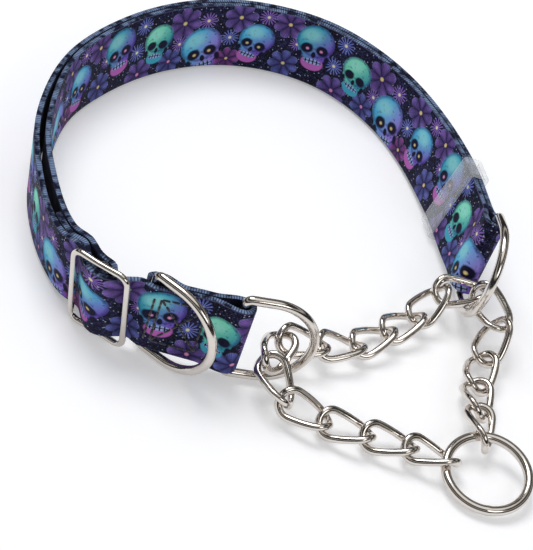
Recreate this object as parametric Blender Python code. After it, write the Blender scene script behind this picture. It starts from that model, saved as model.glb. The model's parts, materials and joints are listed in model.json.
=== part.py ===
"""Martingale dog collar lying on a floor: doubled printed webbing with a metal
slide, a clear keeper band, a tag ring, two end rings, and a loop of twisted
curb chain links that carries the leash ring.

Units are metres, +Z is up, and the floor is at z = 0.
"""
import math

import bmesh
import bpy
import numpy as np
from mathutils import Matrix, Vector

MM = 0.001

# Webbing
STRAP_WIDTH = 25.0 * MM
STRAP_THICK = 1.8 * MM
LAYER_GAP = 0.3 * MM
LAYER = STRAP_THICK + LAYER_GAP
FLOOR_GAP = 0.15 * MM

# D rings: wire radius, bar length and depth along the wire's middle line
RING_WIRE = 1.45 * MM
RING_BAR = 29.4 * MM
RING_DEPTH = 23.4 * MM
FOLD = RING_WIRE + LAYER_GAP + STRAP_THICK / 2

# Leash ring
LEASH_RADIUS = 12.5 * MM
LEASH_WIRE = 1.5 * MM
LEASH_PLACE = Vector((79.5, -53.8, 4.4)) * MM
LEASH_TILT = math.radians(11.0)

# Chain links
LINK_WIRE = 1.2 * MM
LINK_HALF = 8.15 * MM
LINK_SIDE = 4.3 * MM
LINK_TWIST = math.radians(-84.0)
PITCH = 13.5 * MM
LINK_STEPS = 20
WIRE_SIDES = 8

# Slide
SLIDE_WIRE = 1.0 * MM
SLIDE_LONG = 18.8 * MM
SLIDE_WIDE = 29.2 * MM
SLIDE_CORNER = 3.2 * MM
SLIDE_FRAME_OUT = 1.55 * MM
SLIDE_BAR_OUT = -0.6 * MM
SLIDE_FOLD = SLIDE_WIRE + LAYER_GAP + STRAP_THICK / 2

# Keeper band
KEEPER_LONG = 9.0 * MM
KEEPER_WALL = 1.1 * MM
KEEPER_ROOM = 0.55 * MM

# Places along the collar, measured from the left end ring's bar
TAG_AT = 26.0 * MM
SLIDE_AT = 38.5 * MM
TAIL_END = 63.0 * MM
KEEPER_FROM_END = 31.0 * MM

# Ring angles about their bars
TAG_SWING = math.radians(24.0)
LEFT_SWING = math.radians(-10.0)
RIGHT_SWING = math.radians(-12.0)

# Lower edge of the collar's middle line: x, y, z in millimetres, outward lean in degrees
ROUTE = (
    (-2.6, -48.4, 3.7, 0.0),
    (-15.0, -49.8, 3.7, 0.0),
    (-28.0, -50.9, 3.7, 4.0),
    (-40.0, -49.6, 3.3, 8.5),
    (-50.7, -43.0, 2.0, 10.0),
    (-61.0, -31.8, 0.8, 9.0),
    (-69.4, -18.0, 0.2, 6.5),
    (-75.8, -2.0, 0.2, 6.0),
    (-79.0, 18.0, 0.2, 6.0),
    (-77.8, 39.3, 0.2, 6.0),
    (-71.9, 56.2, 0.2, 6.0),
    (-62.5, 73.0, 0.2, 5.0),
    (-52.3, 85.0, 0.2, 4.0),
    (-39.5, 95.0, 0.2, 2.0),
    (-23.3, 101.3, 0.2, 0.0),
    (-8.0, 102.0, 0.2, 0.0),
    (6.0, 97.6, 0.2, 1.0),
    (19.4, 88.4, 0.2, 4.0),
    (31.7, 73.9, 0.4, 9.0),
    (40.4, 59.3, 1.0, 13.0),
    (46.0, 48.0, 1.8, 14.0),
    (51.0, 36.6, 2.2, 14.0),
    (55.4, 27.4, 3.0, 13.0),
    (58.8, 20.2, 4.8, 12.0),
)

# Chain nodes between neighbouring links, in millimetres
LOWER_NODES = (
    (56.17, -54.36, 4.25),
    (43.20, -55.80, 4.30),
    (30.00, -56.60, 4.30),
    (17.46, -56.15, 6.40),
    (9.06, -46.86, 10.28),
    (11.04, -35.16, 9.49),
    (22.48, -29.27, 6.71),
    (32.80, -21.20, 4.30),
    (40.20, -10.50, 4.30),
    (47.60, 0.20, 4.50),
    (52.41, 10.99, 8.81),
    (64.05, 12.73, 12.10),
    (72.68, 5.29, 9.51),
    (70.73, -6.90, 4.25),
    (70.40, -19.40, 4.30),
    (72.64, -31.87, 6.03),
)

# Each link's turn about its own length, in degrees
CHAIN_ROLL = (10.7, -3.8, -7.7, -17.7, 3.9, 19.5, 15.5, 4, -4, -4, -12.7, 15.9, 29.1, 15.7, 3.7, -12.3, -30.5)

# The link that passes through the left end ring, counted from zero at the leash ring
THREADED = 5


def clear_scene():
    """Remove every object that is in the file."""
    for thing in list(bpy.data.objects):
        bpy.data.objects.remove(thing, do_unlink=True)


def material(name, colour, roughness, metallic, alpha=1.0):
    """Make one Principled material."""
    mat = bpy.data.materials.new(name)
    mat.use_nodes = True
    shader = mat.node_tree.nodes["Principled BSDF"]
    shader.inputs["Base Color"].default_value = (*colour, 1.0)
    shader.inputs["Roughness"].default_value = roughness
    shader.inputs["Metallic"].default_value = metallic
    shader.inputs["Alpha"].default_value = alpha
    mat.diffuse_color = (*colour, alpha)
    return mat


def spline(points, count):
    """Natural cubic curve through rows of numbers, sampled by length of the first three."""
    pts = np.array(points, float)
    steps = np.linalg.norm(np.diff(pts[:, :3], axis=0), axis=1)
    knots = np.concatenate(([0.0], np.cumsum(steps)))
    n = len(pts)
    system = np.zeros((n, n))
    right = np.zeros((n, pts.shape[1]))
    system[0, 0] = 1.0
    system[-1, -1] = 1.0
    for i in range(1, n - 1):
        system[i, i - 1] = steps[i - 1]
        system[i, i] = 2.0 * (steps[i - 1] + steps[i])
        system[i, i + 1] = steps[i]
        slope_after = (pts[i + 1] - pts[i]) / steps[i]
        slope_before = (pts[i] - pts[i - 1]) / steps[i - 1]
        right[i] = 6.0 * (slope_after - slope_before)
    bend = np.linalg.solve(system, right)
    out = []
    for t in np.linspace(0.0, knots[-1], count):
        i = min(int(np.searchsorted(knots, t, side="right")) - 1, n - 2)
        h = steps[i]
        a = (knots[i + 1] - t) / h
        b = (t - knots[i]) / h
        row = a * pts[i] + b * pts[i + 1]
        row = row + ((a ** 3 - a) * bend[i] + (b ** 3 - b) * bend[i + 1]) * h * h / 6.0
        out.append(row)
    return np.array(out)


class Collar:
    """The collar's middle surface: length along it, height out of it, width up it."""

    def __init__(self):
        fine = spline(ROUTE, 1200)
        self.base = fine[:, :3] * MM
        self.lean = np.radians(fine[:, 3])
        step = np.linalg.norm(np.diff(self.base, axis=0), axis=1)
        self.at = np.concatenate(([0.0], np.cumsum(step)))
        self.length = float(self.at[-1])

    def _row(self, s):
        return [float(np.interp(s, self.at, self.base[:, k])) for k in range(3)]

    def frame(self, s):
        """Origin on the lower edge, then along, outward and up directions."""
        inside = min(max(s, 0.0), self.length)
        reach = 1.5 * MM
        low = max(inside - reach, 0.0)
        high = min(inside + reach, self.length)
        along = (Vector(self._row(high)) - Vector(self._row(low))).normalized()
        origin = Vector(self._row(inside)) + along * (s - inside)
        up = Vector((0.0, 0.0, 1.0))
        up = (up - along * up.dot(along)).normalized()
        out = up.cross(along).normalized()
        lean = float(np.interp(inside, self.at, self.lean))
        tilt = Matrix.Rotation(-lean, 3, along)
        up_leant = tilt @ up
        out_leant = tilt @ out
        if up_leant.dot(out) < 0.0:
            tilt = Matrix.Rotation(lean, 3, along)
            up_leant = tilt @ up
            out_leant = tilt @ out
        return origin, along, out_leant, up_leant

    def point(self, s, out, up):
        """World position of a spot: up is measured from the strap's middle."""
        origin, _, out_dir, up_dir = self.frame(s)
        return origin + out_dir * out + up_dir * (up + STRAP_WIDTH / 2)


def make_object(name, verts, faces, mat, smooth_angle=None):
    """Make one mesh object with faces turned outwards."""
    mesh = bpy.data.meshes.new(name)
    mesh.from_pydata([tuple(v) for v in verts], [], faces)
    mesh.materials.append(mat)
    work = bmesh.new()
    work.from_mesh(mesh)
    bmesh.ops.recalc_face_normals(work, faces=work.faces)
    work.to_mesh(mesh)
    work.free()
    thing = bpy.data.objects.new(name, mesh)
    bpy.context.collection.objects.link(thing)
    if smooth_angle is not None:
        mesh.shade_smooth()
        mesh.set_sharp_from_angle(angle=math.radians(smooth_angle))
    return thing


def tube(path, radius, sides, closed, ups=None):
    """Vertices and faces of a round wire along a path, without twist."""
    count = len(path)
    verts = []
    faces = []
    normal = None
    first_normal = None
    frames = []
    for i in range(count):
        if closed:
            before = path[i - 1]
            after = path[(i + 1) % count]
        else:
            before = path[max(i - 1, 0)]
            after = path[min(i + 1, count - 1)]
        tangent = (after - before).normalized()
        if normal is None:
            guess = Vector((0.0, 0.0, 1.0))
            if abs(tangent.z) > 0.9:
                guess = Vector((1.0, 0.0, 0.0))
            normal = (guess - tangent * guess.dot(tangent)).normalized()
            first_normal = normal.copy()
            first_tangent = tangent.copy()
        else:
            normal = (normal - tangent * normal.dot(tangent)).normalized()
        frames.append((tangent, normal.copy()))
    turn = 0.0
    if closed:
        end = (normal - first_tangent * normal.dot(first_tangent)).normalized()
        side = first_tangent.cross(first_normal)
        turn = math.atan2(end.dot(side), end.dot(first_normal))
    for i, (tangent, normal) in enumerate(frames):
        twist = -turn * i / count
        side = tangent.cross(normal)
        for k in range(sides):
            angle = 2.0 * math.pi * k / sides + twist
            verts.append(path[i] + (normal * math.cos(angle) + side * math.sin(angle)) * radius)
    spans = count if closed else count - 1
    for i in range(spans):
        j = (i + 1) % count
        for k in range(sides):
            m = (k + 1) % sides
            faces.append((i * sides + k, j * sides + k, j * sides + m, i * sides + m))
    if not closed:
        faces.append(tuple(range(sides - 1, -1, -1)))
        faces.append(tuple(range((count - 1) * sides, count * sides)))
    return verts, faces


def arc(centre_s, centre_h, radius, start_deg, end_deg, steps):
    """Points on an arc in the plane of length and height."""
    out = []
    for i in range(steps + 1):
        angle = math.radians(start_deg + (end_deg - start_deg) * i / steps)
        out.append((centre_s + radius * math.cos(angle), centre_h + radius * math.sin(angle)))
    return out


def ease(stops, step):
    """Points that run smoothly through (length, height) stops."""
    out = []
    for (s0, h0), (s1, h1) in zip(stops[:-1], stops[1:]):
        parts = max(2, int(round(abs(s1 - s0) / step)))
        if h0 == h1:
            parts = max(1, int(round(abs(s1 - s0) / (4.0 * MM))))
        for i in range(parts):
            t = i / parts
            blend = t * t * (3.0 - 2.0 * t)
            out.append((s0 + (s1 - s0) * t, h0 + (h1 - h0) * blend))
    out.append(stops[-1])
    return out


def strap_path(collar):
    """The single run of webbing, from its sewn end at the slide to its tucked end."""
    end = collar.length
    inner = -LAYER / 2
    outer = LAYER / 2
    side = SLIDE_LONG / 2
    under = -0.6 * MM
    path = []
    path += ease(
        [
            (TAIL_END, inner),
            (SLIDE_AT + side + 5.0 * MM, inner),
            (SLIDE_AT + side, under - LAYER),
            (SLIDE_AT + 1.0 * MM, SLIDE_BAR_OUT + SLIDE_FOLD),
        ],
        1.7 * MM,
    )
    path += arc(SLIDE_AT, SLIDE_BAR_OUT, SLIDE_FOLD, 90.0, 270.0, 8)
    path += ease(
        [
            (SLIDE_AT + 1.0 * MM, SLIDE_BAR_OUT - SLIDE_FOLD),
            (SLIDE_AT + side, under - 2.0 * LAYER),
            (SLIDE_AT + side + 8.0 * MM, inner - LAYER),
            (TAIL_END + 4.0 * MM, inner - LAYER),
            (TAIL_END + 40.0 * MM, inner - 0.6 * LAYER),
            (TAIL_END + 82.0 * MM, inner),
            (end - 12.0 * MM, inner),
            (end - 1.0 * MM, -FOLD),
        ],
        3.0 * MM,
    )
    path += arc(end, 0.0, FOLD, -90.0, 90.0, 10)
    path += ease(
        [
            (end - 1.0 * MM, FOLD),
            (end - 12.0 * MM, outer),
            (SLIDE_AT + side + 9.0 * MM, outer),
            (SLIDE_AT + side, under),
            (SLIDE_AT, SLIDE_BAR_OUT + SLIDE_FOLD + LAYER),
            (SLIDE_AT - side, under),
            (TAG_AT, outer),
            (9.0 * MM, outer),
            (1.0 * MM, FOLD),
        ],
        1.7 * MM,
    )
    path += arc(0.0, 0.0, FOLD, 90.0, 270.0, 10)
    tag_bar = outer - FOLD
    path += ease(
        [
            (1.0 * MM, -FOLD),
            (9.0 * MM, inner),
            (TAG_AT - 9.0 * MM, inner),
            (TAG_AT - 1.0 * MM, tag_bar - FOLD),
        ],
        1.7 * MM,
    )
    path += arc(TAG_AT, tag_bar, FOLD, -90.0, -30.0, 4)
    return path


def ribbon(collar, path, width, thick):
    """Solid of a flat band that follows a path of lengths and heights."""
    verts = []
    faces = []
    kept = [path[0]]
    for spot in path[1:]:
        if math.hypot(spot[0] - kept[-1][0], spot[1] - kept[-1][1]) > 0.25 * MM:
            kept.append(spot)
    count = len(kept)
    for i, (s, h) in enumerate(kept):
        before = kept[max(i - 1, 0)]
        after = kept[min(i + 1, count - 1)]
        ds = after[0] - before[0]
        dh = after[1] - before[1]
        size = math.hypot(ds, dh)
        ns = -dh / size
        nh = ds / size
        for side, up in ((1, -1), (1, 1), (-1, 1), (-1, -1)):
            off = side * thick / 2
            verts.append(collar.point(s + ns * off, h + nh * off, up * width / 2))
    for i in range(count - 1):
        for k in range(4):
            m = (k + 1) % 4
            faces.append((i * 4 + k, i * 4 + m, (i + 1) * 4 + m, (i + 1) * 4 + k))
    faces.append((3, 2, 1, 0))
    last = (count - 1) * 4
    faces.append((last, last + 1, last + 2, last + 3))
    return verts, faces


def d_ring(name, place, along, up, mat):
    """A welded D ring: its bar stands along up, its bow points along."""
    along = along.normalized()
    up = up.normalized()
    radius = RING_BAR / 2
    arm = RING_DEPTH - radius
    corner = 1.8 * MM
    flat = []
    for i in range(5):
        angle = math.radians(180.0 - 90.0 * i / 4)
        flat.append((corner + corner * math.cos(angle), radius - corner + corner * math.sin(angle)))
    for i in range(17):
        angle = math.radians(90.0 - 180.0 * i / 16)
        flat.append((arm + radius * math.cos(angle), radius * math.sin(angle)))
    for i in range(5):
        angle = math.radians(270.0 - 90.0 * i / 4)
        flat.append((corner + corner * math.cos(angle), -radius + corner + corner * math.sin(angle)))
    flat.append((0.0, -radius * 0.4))
    flat.append((0.0, radius * 0.4))
    path = [along * a + up * b for a, b in flat]
    verts, faces = tube(path, RING_WIRE, WIRE_SIDES, True)
    thing = make_object(name, verts, faces, mat, 50.0)
    thing.location = place
    return thing


def link(name, start, end, roll, pivot, mat):
    """A twisted link whose ends reach a little past the nodes start and end."""
    axis = (end - start).normalized()
    side = Vector((0.0, 0.0, 1.0)).cross(axis).normalized()
    up = axis.cross(side)
    centre = (start + end) / 2
    straight = LINK_HALF - LINK_SIDE
    flat = []
    quarter = LINK_STEPS // 2
    ends = 6
    bars = quarter - ends
    for half in (1, -1):
        for i in range(ends):
            angle = math.radians(90.0 - 180.0 * i / ends)
            flat.append((half * (straight + LINK_SIDE * math.cos(angle)), half * LINK_SIDE * math.sin(angle)))
        for i in range(bars):
            t = i / bars
            flat.append((half * (straight - 2.0 * straight * t), -half * LINK_SIDE))
    path = []
    for x, y in flat:
        turn = roll + LINK_TWIST * x / (2.0 * LINK_HALF)
        spot = axis * x + side * (y * math.cos(turn)) + up * (y * math.sin(turn))
        path.append(centre - pivot + spot)
    verts, faces = tube(path, LINK_WIRE, WIRE_SIDES, True)
    thing = make_object(name, verts, faces, mat, 60.0)
    thing.location = pivot
    return thing


def join_solids(name, parts, mat, smooth_angle=None):
    """One closed solid from several that overlap."""
    base = parts[0]
    for other in parts[1:]:
        tool = base.modifiers.new("join", "BOOLEAN")
        tool.operation = "UNION"
        tool.solver = "EXACT"
        tool.object = other
        bpy.context.view_layer.objects.active = base
        bpy.ops.object.modifier_apply(modifier=tool.name)
        bpy.data.objects.remove(other, do_unlink=True)
    base.name = name
    base.data.name = name
    if smooth_angle is not None:
        base.data.shade_smooth()
        base.data.set_sharp_from_angle(angle=math.radians(smooth_angle))
    return base


def slide_buckle(collar, mat):
    """Wire frame with rounded corners and a centre bar set a little inwards."""
    half_long = SLIDE_LONG / 2
    half_wide = SLIDE_WIDE / 2
    flat = []
    for sx, sy, start in ((1, 1, 0), (-1, 1, 90), (-1, -1, 180), (1, -1, 270)):
        for i in range(5):
            angle = math.radians(start + 90.0 * i / 4)
            x = sx * (half_long - SLIDE_CORNER) + SLIDE_CORNER * math.cos(angle)
            y = sy * (half_wide - SLIDE_CORNER) + SLIDE_CORNER * math.sin(angle)
            flat.append((x, y))
        if sx == sy:
            notch = 0.7 * MM
            for x, dip in ((2.6, 0.0), (1.3, 0.6), (0.0, 1.0), (-1.3, 0.6), (-2.6, 0.0)):
                flat.append((sx * x * MM, sy * (half_wide - notch * dip)))
    origin, along, out, up = collar.frame(SLIDE_AT)
    middle = origin + up * STRAP_WIDTH / 2
    frame_path = [middle + along * x + out * SLIDE_FRAME_OUT + up * y for x, y in flat]
    verts, faces = tube(frame_path, SLIDE_WIRE, WIRE_SIDES, True)
    frame = make_object("slide_frame", verts, faces, mat)
    reach = half_wide - 0.7 * MM
    bar_path = []
    for h, y in (
        (SLIDE_FRAME_OUT, -reach),
        (SLIDE_FRAME_OUT * 0.4 + SLIDE_BAR_OUT * 0.6, -reach - 0.15 * MM),
        (SLIDE_BAR_OUT, -reach + 0.5 * MM),
        (SLIDE_BAR_OUT, reach - 0.5 * MM),
        (SLIDE_FRAME_OUT * 0.4 + SLIDE_BAR_OUT * 0.6, reach + 0.15 * MM),
        (SLIDE_FRAME_OUT, reach),
    ):
        bar_path.append(middle + out * h + up * y)
    verts, faces = tube(bar_path, SLIDE_WIRE * 0.98, WIRE_SIDES, False)
    bar = make_object("slide_bar", verts, faces, mat)
    buckle = join_solids("slide_buckle", [frame, bar], mat, 50.0)
    move_origin(buckle, middle + out * SLIDE_BAR_OUT)
    return buckle


def keeper_band(collar, mat):
    """Thin clear band round both layers of webbing."""
    middle_at = collar.length - KEEPER_FROM_END
    half_h = LAYER / 2 + STRAP_THICK / 2 + KEEPER_ROOM
    half_w = STRAP_WIDTH / 2 + KEEPER_ROOM
    stations = 5
    loops = []
    for grow, corner in ((0.0, 0.5 * MM), (KEEPER_WALL, 1.4 * MM)):
        outline = []
        for sx, sy, start in ((1, 1, 0), (-1, 1, 90), (-1, -1, 180), (1, -1, 270)):
            for i in range(4):
                angle = math.radians(start + 90.0 * i / 3)
                x = sx * (half_h + grow - corner) + corner * math.cos(angle)
                y = sy * (half_w + grow - corner) + corner * math.sin(angle)
                outline.append((x, y))
        loops.append(outline)
    count = len(loops[0])
    verts = []
    for i in range(stations):
        s = middle_at + KEEPER_LONG * (i / (stations - 1) - 0.5)
        for outline in loops:
            for x, y in outline:
                verts.append(collar.point(s, x, y))
    faces = []
    for i in range(stations - 1):
        for ring in (0, 1):
            for k in range(count):
                m = (k + 1) % count
                a = (i * 2 + ring) * count
                b = ((i + 1) * 2 + ring) * count
                faces.append((a + k, a + m, b + m, b + k))
    for i in (0, stations - 1):
        for k in range(count):
            m = (k + 1) % count
            a = i * 2 * count
            faces.append((a + k, a + m, a + count + m, a + count + k))
    band = make_object("keeper", verts, faces, mat, 40.0)
    move_origin(band, collar.point(middle_at, 0.0, 0.0))
    return band


def thread_bar(collar, start, end, surface, width, rise, mat):
    """One raised stitch line on the strap's face between two (length, up) spots."""
    ds = end[0] - start[0]
    dw = end[1] - start[1]
    size = math.hypot(ds, dw)
    ds, dw = ds / size, dw / size
    verts = []
    faces = []
    pieces = max(2, int(size / (3.0 * MM)))
    for i in range(pieces + 1):
        t = i / pieces * size
        for side, height in ((-1, 0.0), (-0.55, rise), (0.55, rise), (1, 0.0)):
            s = start[0] + ds * t - dw * side * width / 2
            w = start[1] + dw * t + ds * side * width / 2
            verts.append(collar.point(s, surface(s) + height, w))
    for i in range(pieces):
        for k in range(4):
            m = (k + 1) % 4
            faces.append((i * 4 + k, i * 4 + m, (i + 1) * 4 + m, (i + 1) * 4 + k))
    faces.append((0, 1, 2, 3))
    last = pieces * 4
    faces.append((last + 3, last + 2, last + 1, last))
    return make_object("thread", verts, faces, mat)


def stitching(name, collar, lines, surface, outward, mat):
    """Several stitch lines joined into one raised seam."""
    parts = []
    for k, (start, end) in enumerate(lines):
        rise = (0.42 + 0.012 * k) * MM * outward
        parts.append(thread_bar(collar, start, end, surface, 0.85 * MM, rise, mat))
    return join_solids(name, parts, mat)


def leash_contacts():
    """Directions from the leash ring's middle to the two spots where chain ends hang on it."""
    tilt = Matrix.Rotation(LEASH_TILT, 3, "X")
    found = []
    for node in (LOWER_NODES[0], LOWER_NODES[-1]):
        away = Vector(node) * MM - LEASH_PLACE
        found.append(tilt @ Vector((away.x, away.y, 0.0)).normalized())
    return found


def leash_ring(mat):
    """Round welded ring that takes the leash, its origin on the line between its contacts."""
    steps = 36
    path = []
    for i in range(steps):
        angle = 2.0 * math.pi * i / steps
        flat = Vector((math.cos(angle), math.sin(angle), 0.0)) * LEASH_RADIUS
        path.append(Matrix.Rotation(LEASH_TILT, 3, "X") @ flat)
    verts, faces = tube(path, LEASH_WIRE, WIRE_SIDES, True)
    thing = make_object("leash_ring", verts, faces, mat, 50.0)
    thing.location = LEASH_PLACE
    first, last = leash_contacts()
    move_origin(thing, LEASH_PLACE + (first + last) / 2 * LEASH_RADIUS)
    return thing


def chain(mat):
    """Every link between its two nodes, with the end links reaching the leash ring."""
    nodes = [Vector(p) * MM for p in LOWER_NODES]
    reach = LEASH_RADIUS - LEASH_WIRE - LINK_WIRE - 0.25 * MM
    inset = LINK_HALF - PITCH / 2
    first_end, last_end = [LEASH_PLACE + away * reach for away in leash_contacts()]
    first = first_end + (nodes[0] - first_end).normalized() * inset
    last = last_end + (nodes[-1] - last_end).normalized() * inset
    spots = [first] + nodes + [last]
    links = []
    for i in range(len(spots) - 1):
        pivot = spots[i + 1] if i < THREADED else spots[i]
        if i == THREADED:
            pivot = (spots[i] + spots[i + 1]) / 2
        name = "chain_link_%02d" % (i + 1)
        links.append(link(name, spots[i], spots[i + 1], math.radians(CHAIN_ROLL[i]), pivot, mat))
    return links


def move_origin(thing, place):
    """Put an object's origin at a place without moving its shape."""
    offset = place - thing.location
    thing.data.transform(Matrix.Translation(-offset))
    thing.location = place


def centre_on_base():
    """Move everything so that the origin is the middle of the bounding box's base."""
    bpy.context.view_layer.update()
    things = [thing for thing in bpy.data.objects if thing.type == "MESH"]
    spots = np.array([thing.matrix_world @ v.co for thing in things for v in thing.data.vertices])
    low = spots.min(axis=0)
    high = spots.max(axis=0)
    shift = Vector(((low[0] + high[0]) / 2, (low[1] + high[1]) / 2, low[2]))
    for thing in things:
        thing.location = thing.location - shift
    return shift


def build():
    """Make every piece of the collar."""
    clear_scene()
    web = material("webbing", (0.06, 0.05, 0.12), 0.8, 0.0)
    thread = material("thread", (0.02, 0.02, 0.03), 0.8, 0.0)
    nickel = material("nickel", (0.75, 0.73, 0.7), 0.18, 1.0)
    clear = material("clear_plastic", (0.85, 0.88, 0.9), 0.2, 0.0, 0.4)
    collar = Collar()
    verts, faces = ribbon(collar, strap_path(collar), STRAP_WIDTH, STRAP_THICK)
    make_object("main_strap", verts, faces, web, 40.0)
    slide_buckle(collar, nickel)
    keeper_band(collar, clear)

    origin, along, out, up = collar.frame(TAG_AT)
    place = origin + up * STRAP_WIDTH / 2 + out * (LAYER / 2 - FOLD)
    bow = Matrix.Rotation(TAG_SWING, 3, up) @ (-along)
    if bow.dot(out) < 0.0:
        bow = Matrix.Rotation(-TAG_SWING, 3, up) @ (-along)
    d_ring("tag_ring", place, bow, up, nickel)

    origin, along, out, up = collar.frame(0.0)
    place = origin + up * STRAP_WIDTH / 2
    bow = -along * math.cos(LEFT_SWING) + out * math.sin(LEFT_SWING)
    d_ring("left_end_ring", place, bow, up, nickel)

    origin, along, out, up = collar.frame(collar.length)
    place = origin + up * STRAP_WIDTH / 2
    bow = along * math.cos(RIGHT_SWING) + out * math.sin(RIGHT_SWING)
    d_ring("right_end_ring", place, bow, up, nickel)

    half = 8.6 * MM
    left = 10.0 * MM
    right = 23.0 * MM
    box_lines = (
        ((left, -half), (left, half)),
        ((right, -half), (right, half)),
        ((right + 1.9 * MM, -half), (right + 1.9 * MM, half)),
        ((left - 0.4 * MM, -half), (right + 2.3 * MM, -half)),
        ((left - 0.4 * MM, half), (right + 2.3 * MM, half)),
        ((left, -half), (right, half)),
        ((left, half), (right, -half)),
    )
    face = LAYER / 2 + STRAP_THICK / 2 + 0.15 * MM
    stitching("box_stitching", collar, box_lines, lambda s: face, 1.0, thread)
    tack = TAIL_END - 3.5 * MM
    tack_lines = []
    for k in range(3):
        s = tack - 1.7 * MM * k
        tack_lines.append(((s, -half), (s, half)))
    tack_lines.append(((tack - 3.8 * MM, half), (tack + 0.4 * MM, half)))
    tack_lines.append(((tack - 3.8 * MM, -half), (tack + 0.4 * MM, -half)))
    back = -LAYER / 2 - LAYER - STRAP_THICK / 2 - 0.3 * MM
    stitching("slide_end_stitching", collar, tack_lines, lambda s: back, -1.0, thread)

    leash_ring(nickel)
    chain(nickel)
    centre_on_base()


build()
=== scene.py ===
# %% [markdown]
# # A martingale collar, finished by hand
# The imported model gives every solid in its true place. Here each of those plain
# solids is exchanged for a finished piece of the same size: printed webbing,
# sewn thread, a clear keeper, welded rings and a chain of twisted links.

# %% Load the frame
import json
import math

import bpy
import numpy as np
from mathutils import Matrix, Vector


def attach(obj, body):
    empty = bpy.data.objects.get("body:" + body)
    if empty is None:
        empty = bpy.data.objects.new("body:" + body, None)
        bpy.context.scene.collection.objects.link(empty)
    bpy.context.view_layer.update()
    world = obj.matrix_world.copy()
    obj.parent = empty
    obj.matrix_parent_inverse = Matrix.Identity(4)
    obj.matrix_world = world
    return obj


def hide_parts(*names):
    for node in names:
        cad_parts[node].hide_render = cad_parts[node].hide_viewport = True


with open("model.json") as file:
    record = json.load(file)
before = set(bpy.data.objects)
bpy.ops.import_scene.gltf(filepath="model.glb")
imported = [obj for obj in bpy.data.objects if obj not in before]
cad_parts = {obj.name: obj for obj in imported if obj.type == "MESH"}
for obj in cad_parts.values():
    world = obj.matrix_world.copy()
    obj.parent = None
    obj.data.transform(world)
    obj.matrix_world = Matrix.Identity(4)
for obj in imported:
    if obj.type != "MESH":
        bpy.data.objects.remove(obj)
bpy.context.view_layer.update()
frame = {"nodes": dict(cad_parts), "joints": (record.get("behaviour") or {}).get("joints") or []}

MM = 0.001
TINY = 0.01 * MM

# %% [markdown]
# ## Helpers for working in edit mode
# Every operator acts on what is selected, so a small helper clears the selection
# and then picks vertices by their place. A second one lays a finished piece in
# the collar: its place goes into its mesh, and the object stays at the origin.


# %% Selecting by place, and finishing a piece
def only(piece):
    """Select one object and make it active."""
    bpy.ops.object.select_all(action="DESELECT")
    piece.select_set(True)
    bpy.context.view_layer.objects.active = piece
    return piece


def pick(piece, test):
    """Enter edit mode with exactly the vertices selected whose place passes the test."""
    only(piece)
    bpy.ops.object.mode_set(mode="EDIT")
    bpy.ops.mesh.select_mode(type="VERT")
    bpy.ops.mesh.select_all(action="DESELECT")
    bpy.ops.object.mode_set(mode="OBJECT")
    for vert in piece.data.vertices:
        vert.select = bool(test(vert.co))
    bpy.ops.object.mode_set(mode="EDIT")


def leave_edit():
    bpy.ops.object.mode_set(mode="OBJECT")


def apply_modifier(piece, kind, **settings):
    """Add one modifier with its settings and apply it."""
    only(piece)
    tool = piece.modifiers.new(kind.lower(), kind)
    for key, value in settings.items():
        setattr(tool, key, value)
    bpy.ops.object.modifier_apply(modifier=tool.name)


def lay(piece, matrix):
    """Put a piece in its place, with the place in its mesh."""
    only(piece)
    piece.matrix_world = matrix
    bpy.ops.object.transform_apply(location=True, rotation=True, scale=True)


def placed(x_axis, y_axis, origin):
    """Matrix that carries a piece's X and Y onto two directions at a place."""
    x_axis = Vector(x_axis).normalized()
    z_axis = x_axis.cross(Vector(y_axis)).normalized()
    y_axis = z_axis.cross(x_axis)
    matrix = Matrix((x_axis, y_axis, z_axis)).transposed().to_4x4()
    matrix.translation = Vector(origin)
    return matrix


def finish_piece(piece, name, body, slot, finish, *nodes):
    """Name, colour and hand over a piece to its body."""
    piece.name = name
    piece.data.name = name
    if finish is not None:
        piece.data.materials.clear()
        piece.data.materials.append(finish)
    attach(piece, body)
    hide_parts(*nodes)
    faces = len(piece.data.polygons)
    print(name, "has", faces, "faces and rides on", body)
    return piece


def joint(name):
    """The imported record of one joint."""
    return next(j for j in frame["joints"] if j["name"] == name)


def spots_of(node):
    """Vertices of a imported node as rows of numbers."""
    return np.array([v.co for v in frame["nodes"][node].data.vertices])


# %% [markdown]
# ## Node maths that reads like sums
# The print on the webbing is drawn with formulas, so that it stays sharp at any
# distance and needs no picture. These helpers add Math nodes to a material and
# return their outputs, so a motif can be written as a short formula.


# %% Shader helpers
def put(socket, value):
    """Link a socket or set a plain value."""
    if isinstance(value, bpy.types.NodeSocket):
        socket.id_data.links.new(value, socket)
    else:
        socket.default_value = value


def maths(tree, operation, *values, clamp=False):
    """One Math node."""
    node = tree.nodes.new("ShaderNodeMath")
    node.operation = operation
    node.use_clamp = clamp
    for socket, value in zip(node.inputs, values):
        put(socket, value)
    return node.outputs[0]


def vectors(tree, operation, *values):
    """One Vector Math node: its vector, or its value where it has one."""
    node = tree.nodes.new("ShaderNodeVectorMath")
    node.operation = operation
    for socket, value in zip(node.inputs, values):
        put(socket, value)
    if operation in ("LENGTH", "DOT_PRODUCT", "DISTANCE"):
        return node.outputs["Value"]
    return node.outputs["Vector"]


def blend(tree, factor, first, second):
    """Mix two colours."""
    node = tree.nodes.new("ShaderNodeMix")
    node.data_type = "RGBA"
    colours = [s for s in node.inputs if s.type == "RGBA"]
    put(node.inputs[0], factor)
    put(colours[0], first if isinstance(first, bpy.types.NodeSocket) else (*first, 1.0))
    put(colours[1], second if isinstance(second, bpy.types.NodeSocket) else (*second, 1.0))
    return next(s for s in node.outputs if s.type == "RGBA")


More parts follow.
